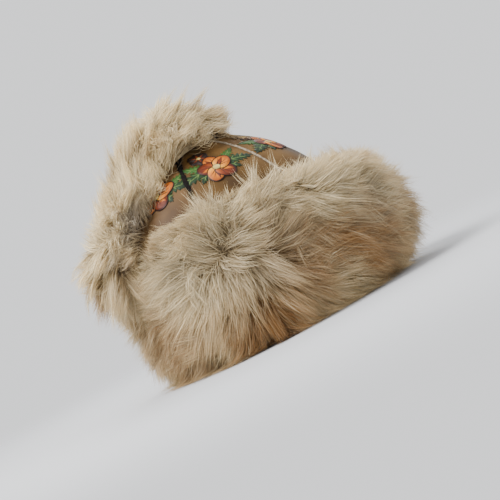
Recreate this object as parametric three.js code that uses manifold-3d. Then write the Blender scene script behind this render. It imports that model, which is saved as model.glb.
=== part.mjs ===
// A fur hat with a six-gore leather crown. Deep fur lies round the head in three pieces, and a
// fourth, the back flap, is turned up over the crown.
// Millimetres, +Z up, the wearer's face towards -Y and the wearer's right side towards -X.
// Azimuths are degrees round the head from the front, growing towards the wearer's right.

import * as THREE from "three";
import { mergeVertices } from "three/addons/utils/BufferGeometryUtils.js";
import Module from "manifold-3d";

const wasm = await Module();
wasm.setup();

// Driving dimensions of the crown

const LEATHER = 2; // thickness of the crown's leather
const HEAD_HALF_WIDTH = 82.5; // inside the rim, for a head of 58 cm
const HEAD_HALF_LENGTH = 100;
const RIM_Z = 6; // the crown's lower edge, above the surface that the fur stands on
const BULGE_Z = 129; // where the crown is widest
const CROWN_TOP_Z = 224;
const CROWN_HALF_WIDTH = 105;
const CROWN_HALF_LENGTH = 125;
const DOME_POWER = 1.6; // 2 is an ellipse, and less comes to a point
const GORES = 6;
const SEAM_DIP = 2.5; // how far the leather sinks at a seam
const GORE_GAP = 0.2; // half of the slit between two gores
const APEX_HOLE = 2.2; // radius left open where the six points meet
const SEAM_HALF_WIDTH = 1.4;
const SEAM_LIFT = 0.35; // clear of the leather
const SEAM_THICK = 1.1;
const SEAM_RIDGE = 0.33; // how much higher its middle stands
const BLACK_SEAM = 2; // counted from the front, where the first is 0
const WALL_STEPS = 3; // faces up the crown's wall, and over its dome
const DOME_STEPS = 8;
const GORE_COLUMNS = 5;

// Driving dimensions of the fur

const FUR_CLEARANCE = 2.2; // from the leather to the fur's hide, which clears the seams
const CUFF_BOTTOM_Z = 1.5;
const FRONT_TOP_Z = 134;
const SIDE_TOP_Z = 145; // over the ears
const CUFF_TOP_Z = 156; // behind the ears, where it is highest
const REAR_TOP_Z = 92; // the cuff is lower behind the head, under the back flap
const FRONT_LIFT = 4; // its rounded lower edge leaves the surface in front and behind
const REAR_LIFT = 9;
const CUFF_HALF_WIDTH = 136; // to the packed underfur. The locks stand out past it
const CUFF_FRONT_LENGTH = 191;
const CUFF_BACK_LENGTH = 124;
const CUFF_PLAN_POWER = 2.3;
const CUFF_SECTION_POWER = 2.8; // a boxy section over the ears
const FRONT_SECTION_POWER = 2.2; // a round one in front, and a pointed one behind
const REAR_SECTION_POWER = 1.4;
const END_ROUND = 22; // length over which a fur piece rounds off at its end
const END_SHARE = 0.88; // how deep the fur still is at the very end
const SIDE_SEAM = 106; // azimuth where the front piece meets a side piece
const CENTRE_BACK = 180;
const LOCK_LENGTH = 44;
const LOW_REAR_LOCK = 0.5; // share of that length low down behind the head
const LOCK_HALF_WIDTH = 19;
const LOCK_SPACING = 46;
const LOCK_DEPTH = 9; // how deep a lock is rooted in the packed fur
const LOCK_BEND = 0.45; // share of its length by which its tip bends towards the flow
const CUFF_LOCK_LEVELS = [0.1, 0.36, 0.64, 0.91]; // rows of locks, from the cuff's foot to its top
const FLAP_LOCK_SIDES = [-0.85, -0.3, 0.3, 0.85];
const FLAP_LOCK_ROWS = 7;
const NEIGHBOUR_GAP = 0.5;
const PIECE_SLIT = 0.2; // degrees taken off each end of a cuff piece
const CROWN_OVERLAP = 6; // how far the fur is drawn into the crown before the crown is cut out

const FLAP_CENTRE_Z = 110; // rays from here, on the crown's axis, carry the back flap
const TONGUE_THICK = 4; // the flap's hide where it goes down between crown and cuff
const TONGUE_HALF_WIDTH = 45;
const TONGUE_BOTTOM_Z = 6;
const TONGUE_TOP_Z = 118; // inside the fur of the flap's first rows

// The back flap from behind the head to its free end over the crown. rise is the ray's angle
// from level, thick is the packed fur on the crown, and half is half of the flap's width.
const FLAP_ROWS = [
  { rise: -4, thick: 6, half: 42 },
  { rise: 3, thick: 18, half: 50 },
  { rise: 16, thick: 25, half: 57 },
  { rise: 34, thick: 19, half: 58 },
  { rise: 54, thick: 22, half: 56 },
  { rise: 74, thick: 37, half: 53 },
  { rise: 90, thick: 41, half: 50 },
  { rise: 103, thick: 33, half: 43 },
  { rise: 112, thick: 10, half: 28 },
];

// Colours

const LEATHER_COLOUR = "#9a7442";
const SEAM_COLOUR = "#a09484";
const BLACK_SEAM_COLOUR = "#1e1612";
const FUR_COLOUR = "#c2b18f";

// Small helpers

const radians = THREE.MathUtils.degToRad;
const mix = THREE.MathUtils.lerp;
const ease = (t) => THREE.MathUtils.smoothstep(t, 0, 1);
const up = new THREE.Vector3(0, 0, 1);

function outwards(azimuth) {
  const a = radians(azimuth);
  return new THREE.Vector3(-Math.sin(a), -Math.cos(a), 0);
}

// Half width and half length of the crown's outside at a height
function crownOval(z) {
  if (z >= BULGE_Z) {
    const height = Math.min(1, (z - BULGE_Z) / (CROWN_TOP_Z - BULGE_Z));
    const share = Math.pow(1 - Math.pow(height, DOME_POWER), 1 / DOME_POWER);
    return { across: CROWN_HALF_WIDTH * share, along: CROWN_HALF_LENGTH * share };
  }
  const down = ease((BULGE_Z - z) / (BULGE_Z - RIM_Z));
  return {
    across: mix(CROWN_HALF_WIDTH, HEAD_HALF_WIDTH + LEATHER, down),
    along: mix(CROWN_HALF_LENGTH, HEAD_HALF_LENGTH + LEATHER, down),
  };
}

// Distance from the crown's axis to its outside at a height and azimuth
function crownRadius(azimuth, z) {
  const oval = crownOval(z);
  const a = radians(azimuth);
  const inverse = Math.hypot(Math.sin(a) / oval.across, Math.cos(a) / oval.along);
  return Number.isFinite(inverse) ? 1 / inverse : 0;
}

// The crown's heights from the rim to a small hole at the top, closer together where it curves
function crownHeights() {
  const heights = [];
  for (let i = 0; i < WALL_STEPS; i++) heights.push(mix(RIM_Z, BULGE_Z, i / WALL_STEPS));
  const openShare = APEX_HOLE / CROWN_HALF_WIDTH;
  const lastTurn = Math.acos(Math.pow(openShare, DOME_POWER / 2));
  for (let i = 0; i <= DOME_STEPS; i++) {
    const turn = (lastTurn * i) / DOME_STEPS;
    const rise = Math.pow(Math.sin(turn), 2 / DOME_POWER);
    heights.push(mix(BULGE_Z, CROWN_TOP_Z, rise));
  }
  return heights;
}

// Joins and cuts work on solids, and a mesh comes back with each face flat
function toSolid(geometry) {
  const bare = geometry.clone();
  for (const name of Object.keys(bare.attributes)) {
    if (name !== "position") bare.deleteAttribute(name);
  }
  const merged = mergeVertices(bare, 1e-4);
  const mesh = new wasm.Mesh({
    numProp: 3,
    vertProperties: Float32Array.from(merged.attributes.position.array),
    triVerts: Uint32Array.from(merged.index.array),
  });
  return new wasm.Manifold(mesh);
}

function toGeometry(solid) {
  const mesh = solid.getMesh();
  const geometry = new THREE.BufferGeometry();
  geometry.setAttribute("position", new THREE.BufferAttribute(mesh.vertProperties, 3));
  geometry.setIndex(new THREE.BufferAttribute(mesh.triVerts, 1));
  const flat = geometry.toNonIndexed();
  flat.computeVertexNormals();
  return flat;
}

function largestPiece(solid) {
  return solid.decompose().reduce((best, one) => (one.volume() > best.volume() ? one : best));
}

// Six times the volume that the faces enclose, below zero where they point inwards
function signedVolume(points, faces) {
  const across = new THREE.Vector3();
  let sum = 0;
  for (let i = 0; i < faces.length; i += 3) {
    across.crossVectors(points[faces[i + 1]], points[faces[i + 2]]);
    sum += points[faces[i]].dot(across);
  }
  return sum;
}

function geometryOf(points, faces) {
  if (signedVolume(points, faces) < 0) faces.reverse();
  const geometry = new THREE.BufferGeometry();
  const numbers = points.flatMap((p) => [p.x, p.y, p.z]);
  geometry.setAttribute("position", new THREE.Float32BufferAttribute(numbers, 3));
  geometry.setIndex(faces);
  return geometry;
}

// A closed sheet between two grids of points. outer(i, j) and inner(i, j) give the two faces,
// with i from left to right and j upwards as the sheet is seen from outside.
function closedSheet(columns, rows, outer, inner) {
  const points = [];
  const faces = [];
  const across = columns + 1;
  const layer = across * (rows + 1);
  for (const side of [outer, inner]) {
    for (let j = 0; j <= rows; j++) {
      for (let i = 0; i <= columns; i++) points.push(side(i, j));
    }
  }
  const quad = (a, b, c, d) => faces.push(a, b, c, a, c, d);
  const at = (i, j) => j * across + i;
  for (let j = 0; j < rows; j++) {
    for (let i = 0; i < columns; i++) {
      quad(at(i, j), at(i + 1, j), at(i + 1, j + 1), at(i, j + 1));
      quad(layer + at(i, j), layer + at(i, j + 1), layer + at(i + 1, j + 1), layer + at(i + 1, j));
    }
  }
  const wall = (a, b) => quad(a, layer + a, layer + b, b);
  for (let i = 0; i < columns; i++) {
    wall(at(i, 0), at(i + 1, 0));
    wall(at(i + 1, rows), at(i, rows));
  }
  for (let j = 0; j < rows; j++) {
    wall(at(columns, j), at(columns, j + 1));
    wall(at(0, j + 1), at(0, j));
  }
  return geometryOf(points, faces);
}

// A closed body through rings of equally many points, each ring going round the same way
function loft(rings) {
  const points = rings.flat();
  const faces = [];
  const count = rings[0].length;
  for (let j = 0; j + 1 < rings.length; j++) {
    for (let i = 0; i < count; i++) {
      const next = (i + 1) % count;
      const low = j * count;
      const high = low + count;
      faces.push(low + i, low + next, high + next, low + i, high + next, high + i);
    }
  }
  const last = (rings.length - 1) * count;
  const cap = (ring) => ring.reduce((sum, p) => sum.add(p), new THREE.Vector3()).divideScalar(count);
  points.push(cap(rings[0]), cap(rings[rings.length - 1]));
  const start = points.length - 2;
  for (let i = 0; i < count; i++) {
    const next = (i + 1) % count;
    faces.push(start, next, i, start + 1, last + i, last + next);
  }
  return geometryOf(points, faces);
}

// Crown

const seamAzimuth = (k) => (360 / GORES) * k;

// A point on the crown, lifted square to the leather and moved level by side. The leather sinks
// towards each seam, and a lift is shared between out and up where the dome turns over.
function onCrown(azimuth, z, lift, side = 0) {
  const step = 0.5;
  const radius = crownRadius(azimuth, z);
  const slope = (crownRadius(azimuth, z - step) - radius) / step;
  const out = 1 / Math.hypot(1, slope);
  const puff = Math.abs(Math.sin(radians((azimuth * GORES) / 2)));
  const dip = SEAM_DIP * Math.pow(1 - puff, 2) * Math.min(1, radius / CROWN_HALF_WIDTH);
  const point = outwards(azimuth).multiplyScalar(Math.max(radius + lift * out - dip, 0));
  const tangent = outwards(azimuth).cross(up);
  return point.addScaledVector(tangent, -side).setZ(z + lift * Math.min(slope * out, 1));
}

function makeGore(k) {
  const heights = crownHeights();
  const place = (lift) => (i, j) => {
    const z = heights[j];
    const radius = Math.max(crownRadius(0, z) - LEATHER, 1);
    const slit = THREE.MathUtils.radToDeg(Math.asin(GORE_GAP / radius));
    const azimuth = mix(seamAzimuth(k + 1) - slit, seamAzimuth(k) + slit, i / GORE_COLUMNS);
    return onCrown(azimuth, z, lift);
  };
  return closedSheet(GORE_COLUMNS, heights.length - 1, place(0), place(-LEATHER));
}

// A seam's strip is two faces wide, with a ridge along its middle
function makeSeam(k) {
  const heights = crownHeights().slice(0, -1);
  const place = (lift, ridge) => (i, j) => {
    const side = mix(-SEAM_HALF_WIDTH, SEAM_HALF_WIDTH, i / 2);
    return onCrown(seamAzimuth(k), heights[j], lift + (i === 1 ? ridge : 0), side);
  };
  const outer = place(SEAM_LIFT + SEAM_THICK, SEAM_RIDGE);
  return closedSheet(2, heights.length - 1, outer, place(SEAM_LIFT, 0));
}

// The crown as one body grown by a clearance, closed over the top, to cut what lies round it
function crownBody(grow) {
  const sides = 30;
  const belowFloor = -20;
  const rings = [];
  for (const z of [belowFloor, ...crownHeights()]) {
    const ring = [];
    for (let i = 0; i < sides; i++) {
      const azimuth = (-360 * i) / sides;
      const point = outwards(azimuth).multiplyScalar(crownRadius(azimuth, z) + grow);
      ring.push(point.setZ(z > BULGE_Z ? z + (grow * (z - BULGE_Z)) / (CROWN_TOP_Z - BULGE_Z) : z));
    }
    rings.push(ring);
  }
  return toSolid(loft(rings));
}

// Locks of fur

// Chance that comes out the same every time, from a linear congruential generator
const RANDOM_RANGE = 2 ** 32;
let seed = 7;
function draw(low, high) {
  seed = (seed * 1664525 + 1013904223) % RANDOM_RANGE;
  return mix(low, high, seed / RANDOM_RANGE);
}

// Sections of a lock from its root to its tip, as shares of its length and half width
const LOCK_SECTIONS = [
  { along: -0.1, wide: 0.9, deep: 0.6, sink: 0.24 },
  { along: 0.4, wide: 1, deep: 0.6, sink: 0.24 },
  { along: 1, wide: 0.05, deep: 0.05, sink: 0.02 },
];

// A pointed lock with a flat underside and a ridge. It leaves along lean and bends towards flow.
// A grown one clears the same lock all round, and most at its thin tip and edges.
function makeLock({ root, lean, flow, outer, length, half, grow }) {
  const side = new THREE.Vector3().crossVectors(flow, lean).normalize();
  const rings = LOCK_SECTIONS.map(({ along, wide, deep, sink }) => {
    const ahead = Math.max(along, 0);
    const centre = root.clone().addScaledVector(lean, along * length);
    centre.addScaledVector(flow, ahead ** 2 * LOCK_BEND * length);
    const forward = lean.clone().addScaledVector(flow, 2 * LOCK_BEND * ahead).normalize();
    const ridge = new THREE.Vector3().crossVectors(side, forward).normalize();
    if (ridge.dot(outer) < 0) ridge.negate();
    if (along === 1) centre.addScaledVector(forward, grow * 4);
    const base = centre.clone().addScaledVector(ridge, -half * sink - grow);
    return [
      base.clone().addScaledVector(side, half * wide + grow * 3),
      centre.clone().addScaledVector(ridge, half * deep + grow * 2),
      base.clone().addScaledVector(side, -half * wide - grow * 3),
    ];
  });
  return toSolid(loft(rings));
}

// A lock on packed fur at a point, given the surface's normal and the way the hair lies there
function lockAt(point, normal, flow, stand, length) {
  return {
    root: point.clone().addScaledVector(normal, -LOCK_DEPTH),
    lean: flow.clone().multiplyScalar(0.8).addScaledVector(normal, stand).normalize(),
    flow,
    outer: normal,
    length,
    half: LOCK_HALF_WIDTH * draw(0.9, 1.15),
  };
}

// Cuff

function cuffPlanRadius(azimuth) {
  const a = radians(azimuth);
  const along = Math.cos(a) > 0 ? CUFF_FRONT_LENGTH : CUFF_BACK_LENGTH;
  const power = CUFF_PLAN_POWER;
  const sum = (Math.abs(Math.sin(a)) / CUFF_HALF_WIDTH) ** power + (Math.abs(Math.cos(a)) / along) ** power;
  return Math.pow(sum, -1 / power);
}

const fromFront = (azimuth) => Math.abs(azimuth > 180 ? azimuth - 360 : azimuth);

// The top of the cuff rises from the face to behind the ears, and falls away behind the head
function cuffTop(azimuth) {
  const around = fromFront(azimuth);
  const side = mix(FRONT_TOP_Z, SIDE_TOP_Z, ease((around - 20) / 50));
  const highest = mix(side, CUFF_TOP_Z, ease((around - 75) / 30));
  return mix(highest, REAR_TOP_Z, ease((around - 140) / 33));
}

// From 0 over the ears to 1 in front of the face, and to 1 behind the head
const frontShare = (azimuth) => ease((70 - fromFront(azimuth)) / 50);
const rearShare = (azimuth) => ease((fromFront(azimuth) - 125) / 55);

// A point on the packed fur. level runs from 0 under the cuff to 1 on its top edge, and full is
// less than 1 where a piece rounds off at its end.
function onCuff(azimuth, level, full, grow = 0) {
  const top = cuffTop(azimuth) * mix(0.5 + END_SHARE / 2, 1, full) + grow;
  const front = frontShare(azimuth);
  const rear = rearShare(azimuth);
  const bottom = CUFF_BOTTOM_Z + FRONT_LIFT * front + REAR_LIFT * rear - grow;
  const z = mix(bottom, top, level);
  const power = mix(mix(CUFF_SECTION_POWER, FRONT_SECTION_POWER, front), REAR_SECTION_POWER, rear);
  const bulge = Math.pow(Math.max(0, 1 - Math.abs(2 * level - 1) ** power), 1 / power);
  const inner = crownRadius(azimuth, z) - 1;
  const outer = mix(inner, cuffPlanRadius(azimuth), mix(END_SHARE, 1, full)) + grow;
  return outwards(azimuth).multiplyScalar(mix(inner, outer, bulge)).setZ(z);
}

function roundOff(azimuth, from, to) {
  const nearest = Math.min(azimuth - from, to - azimuth);
  const distance = radians(nearest) * cuffPlanRadius(azimuth);
  const t = Math.min(1, Math.max(0, distance / END_ROUND));
  return Math.sqrt(1 - (1 - t) ** 2);
}

// The body of packed fur between two azimuths, with sections closer together near its ends
function cuffBody(from, to, grow) {
  const sectionAngle = 10;
  const steps = Math.max(8, Math.round((to - from) / sectionAngle));
  const levels = [0, 0.07, 0.25, 0.5, 0.75, 0.93, 1];
  const rings = [];
  for (let i = 0; i <= steps; i++) {
    const turn = (1 - Math.cos((Math.PI * i) / steps)) / 2;
    const azimuth = mix(from, to, mix(i / steps, turn, 0.5));
    const full = roundOff(azimuth, from, to);
    const ring = levels.map((level) => onCuff(azimuth, level, full, grow));
    const inside = (z) => {
      const radius = crownRadius(azimuth, z) - CROWN_OVERLAP;
      return outwards(azimuth).multiplyScalar(radius).setZ(z);
    };
    const lowest = ring[0].z;
    const highest = ring[ring.length - 1].z;
    ring.push(inside(highest), inside((lowest + highest) / 2), inside(lowest));
    rings.push(ring);
  }
  return toSolid(loft(rings));
}

// Which way the hair lies: forwards on the front piece, backwards on a side piece, and up along
// the top edge. It turns less near the middle of the face and of the back.
function cuffFlow(azimuth, level) {
  const around = fromFront(azimuth);
  const turnAngle = 40;
  const side = azimuth > 180 || azimuth < 0 ? -1 : 1;
  const backwards = outwards(azimuth).cross(up).multiplyScalar(side);
  let turn = Math.min(0.9, (CENTRE_BACK - around) / turnAngle + 0.1);
  let lift = mix(-0.4, 0.75, ease((level - 0.35) / 0.65));
  if (around < SIDE_SEAM) {
    const hanging = mix(-0.5, 0, frontShare(azimuth));
    const standing = mix(0.3, 0.75, ease((around - 50) / 50));
    turn = -mix(0.25, 1, Math.min(1, around / turnAngle));
    lift = mix(hanging, standing, ease(level));
  }
  return backwards.multiplyScalar(turn).addScaledVector(up, lift).normalize();
}

function cuffNormal(azimuth, level) {
  const step = 0.02;
  const low = onCuff(azimuth, Math.max(0.02, level - step), 1);
  const high = onCuff(azimuth, Math.min(0.98, level + step), 1);
  const tangent = outwards(azimuth).cross(up);
  return new THREE.Vector3().crossVectors(high.sub(low), tangent).normalize();
}

// Staggered rows of locks, each a little off its place
function cuffLocks(from, to) {
  const locks = [];
  const length = radians(to - from) * cuffPlanRadius((from + to) / 2);
  const count = Math.round(length / LOCK_SPACING);
  CUFF_LOCK_LEVELS.forEach((level, row) => {
    for (let i = 0; i < count; i++) {
      const share = (i + (row % 2 ? 0.75 : 0.25) + draw(-0.15, 0.15)) / count;
      const azimuth = mix(from, to, share);
      const here = level + draw(-0.04, 0.04);
      const normal = cuffNormal(azimuth, here);
      const flow = cuffFlow(azimuth, here);
      flow.addScaledVector(normal, -flow.dot(normal)).normalize();
      const point = onCuff(azimuth, here, roundOff(azimuth, from, to));
      const rear = ease((fromFront(azimuth) - SIDE_SEAM) / 25);
      const shorter = mix(1, LOW_REAR_LOCK, rear * (1 - level));
      locks.push(lockAt(point, normal, flow, 0.5, LOCK_LENGTH * draw(0.85, 1.12) * shorter));
    }
  });
  return locks;
}

// Back flap

const flapCentre = new THREE.Vector3(0, 0, FLAP_CENTRE_Z);

// Distance from the flap's centre along a ray to the outside of the crown, by halving a range
function rayToCrown(ray) {
  let near = 40;
  let far = 200;
  for (let i = 0; i < 30; i++) {
    const middle = (near + far) / 2;
    const z = FLAP_CENTRE_Z + ray.z * middle;
    const oval = crownOval(Math.max(z, RIM_Z));
    const inside = z < CROWN_TOP_Z
      && Math.hypot((ray.x * middle) / oval.across, (ray.y * middle) / oval.along) < 1;
    if (inside) near = middle;
    else far = middle;
  }
  return near;
}

function flapRow(share) {
  const place = share * (FLAP_ROWS.length - 1);
  const low = Math.min(Math.floor(place), FLAP_ROWS.length - 2);
  const t = place - low;
  const between = (name) => mix(FLAP_ROWS[low][name], FLAP_ROWS[low + 1][name], t);
  return { rise: between("rise"), thick: between("thick"), half: between("half") };
}

function flapRay(rise, side) {
  const a = radians(rise);
  const level = Math.sqrt(1 - side * side);
  return new THREE.Vector3(side, Math.cos(a) * level, Math.sin(a) * level);
}

// A point on the packed fur of the flap. share runs from the back of the head to the free end,
// and side from -1 to 1 across.
function onFlap(share, side) {
  const { rise, thick, half } = flapRow(share);
  const middle = rayToCrown(flapRay(rise, 0));
  const ray = flapRay(rise, (side * half) / middle);
  const edge = Math.pow(Math.max(0, 1 - Math.abs(side) ** 3), 1 / 3);
  const distance = rayToCrown(ray) + thick * edge;
  return ray.multiplyScalar(distance).add(flapCentre);
}

// The packed fur of the flap, drawn into the crown
function flapBody() {
  const sides = [-1, -0.93, -0.72, -0.38, 0, 0.38, 0.72, 0.93, 1];
  const innerSides = [0.8, 0, -0.8];
  const rings = [];
  const steps = 14;
  for (let j = 0; j <= steps; j++) {
    const share = j / steps;
    const { rise, half } = flapRow(share);
    const middle = rayToCrown(flapRay(rise, 0));
    const inner = innerSides.map((side) => {
      const ray = flapRay(rise, (side * half) / middle);
      return ray.multiplyScalar(rayToCrown(ray) - CROWN_OVERLAP).add(flapCentre);
    });
    rings.push([...sides.map((side) => onFlap(share, side)), ...inner]);
  }
  return toSolid(loft(rings));
}

// The flap's locks point to its free end, and outwards near its sides
function flapLocks() {
  const locks = [];
  const step = 0.03;
  for (let j = 0; j < FLAP_LOCK_ROWS; j++) {
    for (const side of FLAP_LOCK_SIDES) {
      const share = Math.min(0.98, (j + 0.45 + draw(-0.2, 0.2)) / FLAP_LOCK_ROWS);
      const point = onFlap(share, side);
      const along = onFlap(Math.min(1, share + step), side);
      along.sub(onFlap(Math.max(0, share - step), side)).normalize();
      const across = onFlap(share, side + step).sub(onFlap(share, side - step)).normalize();
      const normal = new THREE.Vector3().crossVectors(along, across).normalize();
      if (normal.dot(point.clone().sub(flapCentre)) < 0) normal.negate();
      const flow = along.clone().addScaledVector(across, side * 0.7).normalize();
      const ends = mix(0.7, 1, ease(share / 0.3)) * mix(1, 0.75, ease((share - 0.7) / 0.25));
      locks.push(lockAt(point, normal, flow, 0.5, LOCK_LENGTH * draw(0.68, 0.9) * ends));
    }
  }
  return locks;
}

// Fusing, and cutting each piece clear of the next

function fuse(body, locks, grow) {
  return locks.reduce((solid, lock) => solid.add(makeLock({ ...lock, grow })), body);
}

function boxSolid(low, high) {
  const size = new THREE.Vector3().subVectors(high, low);
  const box = new THREE.BoxGeometry(size.x, size.y, size.z);
  box.translate((low.x + high.x) / 2, (low.y + high.y) / 2, (low.z + high.z) / 2);
  return toSolid(box);
}

const vector = (x, y, z) => new THREE.Vector3(x, y, z);

const pieces = {
  fur_front: { from: -SIDE_SEAM, to: SIDE_SEAM },
  fur_right: { from: SIDE_SEAM, to: CENTRE_BACK },
  fur_left: { from: CENTRE_BACK, to: 360 - SIDE_SEAM },
};

const FAR = 400; // past everything
const crownClear = crownBody(FUR_CLEARANCE);
const underFloor = boxSolid(vector(-FAR, -FAR, -FAR), vector(FAR, FAR, 0));

const fur = {};
const grown = {};
for (const [name, { from, to }] of Object.entries(pieces)) {
  const locks = cuffLocks(from, to);
  fur[name] = fuse(cuffBody(from + PIECE_SLIT, to - PIECE_SLIT, 0), locks, 0);
  grown[name] = fuse(cuffBody(from, to, NEIGHBOUR_GAP), locks, NEIGHBOUR_GAP);
}

// The flap's hide goes down between the crown and the cuff, and the fur above lies on the crown
function tongueBody(grow) {
  const low = vector(-TONGUE_HALF_WIDTH - grow, 0, TONGUE_BOTTOM_Z - grow);
  const high = vector(TONGUE_HALF_WIDTH + grow, FAR, TONGUE_TOP_Z);
  return crownBody(FUR_CLEARANCE + TONGUE_THICK + grow).intersect(boxSolid(low, high));
}

const tongueClear = tongueBody(NEIGHBOUR_GAP);

fur.fur_front = fur.fur_front.subtract(grown.fur_right).subtract(grown.fur_left);
fur.fur_left = fur.fur_left.subtract(grown.fur_right).subtract(tongueClear);
fur.fur_right = fur.fur_right.subtract(tongueClear);
fur.fur_back = fuse(flapBody(), flapLocks(), 0)
  .subtract(grown.fur_right)
  .subtract(grown.fur_left)
  .subtract(grown.fur_front)
  .add(tongueBody(0));

// Assembly

const hat = new THREE.Group();

function addPiece(name, geometry, colour, roughness) {
  const material = new THREE.MeshStandardMaterial({ color: colour, roughness, metalness: 0 });
  const mesh = new THREE.Mesh(geometry, material);
  mesh.name = name;
  hat.add(mesh);
}

for (let k = 0; k < GORES; k++) {
  const seamColour = k === BLACK_SEAM ? BLACK_SEAM_COLOUR : SEAM_COLOUR;
  addPiece(`crown_gore_${k + 1}`, makeGore(k), LEATHER_COLOUR, 0.55);
  addPiece(`crown_seam_${k + 1}`, makeSeam(k), seamColour, 0.7);
}
for (const [name, solid] of Object.entries(fur)) {
  const piece = largestPiece(solid.subtract(crownClear).subtract(underFloor));
  addPiece(name, toGeometry(piece), FUR_COLOUR, 0.95);
}

// The origin is under the middle of the hat's box
const box = new THREE.Box3().setFromObject(hat);
const middle = box.getCenter(vector(0, 0, 0));
hat.position.set(-middle.x, -middle.y, -box.min.z);
hat.updateMatrixWorld(true);

export default hat;
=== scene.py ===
# %% [markdown]
# # A fur hat with a painted leather crown
#
# The hat has two kinds of surface. The crown is smooth tan leather, cut in six gores and painted
# with flowers. Round it lies deep fur, with a back flap turned up over the top.
#
# Smooth leather is a thin shell with a few soft folds. Fur has no surface of its own: the eye
# sees thousands of hairs that lean together in tufts, so most of this lesson is about growing
# hair along a flow. All sizes are in millimetres until a mesh is made.

# %% Frame
import math

import bpy
import numpy as np
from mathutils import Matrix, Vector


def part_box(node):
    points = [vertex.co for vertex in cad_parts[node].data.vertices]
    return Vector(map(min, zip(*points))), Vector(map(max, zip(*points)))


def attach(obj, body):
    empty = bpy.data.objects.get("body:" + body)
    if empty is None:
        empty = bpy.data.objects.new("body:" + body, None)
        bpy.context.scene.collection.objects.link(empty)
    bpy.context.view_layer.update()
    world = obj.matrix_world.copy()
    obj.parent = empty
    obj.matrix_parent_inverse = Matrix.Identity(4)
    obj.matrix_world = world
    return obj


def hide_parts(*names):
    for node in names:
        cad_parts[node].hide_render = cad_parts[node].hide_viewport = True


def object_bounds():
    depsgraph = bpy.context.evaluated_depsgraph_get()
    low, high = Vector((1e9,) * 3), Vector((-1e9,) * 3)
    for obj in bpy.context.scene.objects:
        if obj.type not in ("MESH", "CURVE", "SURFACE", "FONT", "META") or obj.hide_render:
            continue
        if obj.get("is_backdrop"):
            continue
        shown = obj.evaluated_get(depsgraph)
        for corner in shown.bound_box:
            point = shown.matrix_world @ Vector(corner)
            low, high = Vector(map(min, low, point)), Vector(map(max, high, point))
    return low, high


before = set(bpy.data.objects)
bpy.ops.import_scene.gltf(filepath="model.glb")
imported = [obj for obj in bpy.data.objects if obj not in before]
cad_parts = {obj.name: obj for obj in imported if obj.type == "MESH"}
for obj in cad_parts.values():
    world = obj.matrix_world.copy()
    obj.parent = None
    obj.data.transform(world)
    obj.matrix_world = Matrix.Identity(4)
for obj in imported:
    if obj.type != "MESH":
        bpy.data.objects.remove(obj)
CAD_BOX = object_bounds()
MM = 0.001
GORES = 6
gore_boxes = np.array([[list(c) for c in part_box(f"crown_gore_{k + 1}")] for k in range(GORES)])
AXIS = (gore_boxes[:, 0].min(0) + gore_boxes[:, 1].max(0)) / 2 / MM
AXIS[2] = 0
print("crown axis at", AXIS.round(1), "mm")

# %% [markdown]
# ## Camera
#
# The photo looks at the wearer's right side from a little behind, almost level with the hat. The
# hat is tilted back there, as it is worn. Here it rests on its fur, so the camera rolls instead.
# A long lens from two metres keeps the near fur from looking larger than it is.

# %% Camera
VIEW_AZIMUTH = 248
VIEW_ELEVATION = 1.5
VIEW_ROLL = 27
VIEW_DISTANCE = 2.0
FRAME_WIDTH = 0.525
SENSOR_WIDTH = 36
AIM_ALONG = 15.7
AIM_HEIGHT = 92


def view_axes(azimuth, elevation, roll=0):
    """The directions to the right, to the top and back to the eye, for a view from there."""
    a, e, r = (math.radians(v) for v in (azimuth, elevation, roll))
    back = np.array([math.sin(a) * math.cos(e), -math.cos(a) * math.cos(e), math.sin(e)])
    level = np.array([math.cos(a), math.sin(a), 0])
    upright = np.cross(back, level)
    right = level * math.cos(r) - upright * math.sin(r)
    top = level * math.sin(r) + upright * math.cos(r)
    return right, top, back


def link_object(name, data):
    linked = bpy.data.objects.new(name, data)
    bpy.context.scene.collection.objects.link(linked)
    return linked


def link_facing(name, data, axes, aim, distance):
    """Links a camera or a light that faces aim, in metres, from a distance."""
    facing = link_object(name, data)
    matrix = np.eye(4)
    matrix[:3] = np.column_stack([*axes, aim + axes[2] * distance])
    facing.matrix_world = matrix.T.tolist()
    return facing


def make_camera():
    level = view_axes(VIEW_AZIMUTH, 0)[0]
    aim = (AXIS + level * AIM_ALONG + np.array([0, 0, AIM_HEIGHT])) * MM
    data = bpy.data.cameras.new("camera")
    data.sensor_width = SENSOR_WIDTH
    data.lens = SENSOR_WIDTH * VIEW_DISTANCE / FRAME_WIDTH
    axes = view_axes(VIEW_AZIMUTH, VIEW_ELEVATION, VIEW_ROLL)
    bpy.context.scene.camera = link_facing("camera", data, axes, aim, VIEW_DISTANCE)
    print("camera aims at", aim.round(3), "lens", round(data.lens), "mm")


make_camera()

# %% [markdown]
# ## Helpers for meshes and materials
#
# Every piece is one mesh built from arrays, which is quick enough for about 165,000 hairs. A
# grid helper closes a sheet between two faces, as leather has. Colours are picked as the screen
# shows them, in hex, and one function turns them to the linear values that light needs.

# %% Mesh helpers
def link_mesh(name, points, loops, starts, material_index=None):
    mesh = bpy.data.meshes.new(name)
    mesh.vertices.add(len(points))
    mesh.vertices.foreach_set("co", ((points + AXIS) * MM).astype(np.float32).ravel())
    mesh.loops.add(len(loops))
    mesh.loops.foreach_set("vertex_index", np.asarray(loops, np.int32))
    mesh.polygons.add(len(starts))
    mesh.polygons.foreach_set("loop_start", np.asarray(starts, np.int32))
    mesh.update(calc_edges=True)
    mesh.polygons.foreach_set("use_smooth", np.ones(len(starts), bool))
    if material_index is not None:
        mesh.polygons.foreach_set("material_index", np.asarray(material_index, np.int32))
    piece = link_object(name, mesh)
    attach(piece, "root")
    return piece


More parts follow.
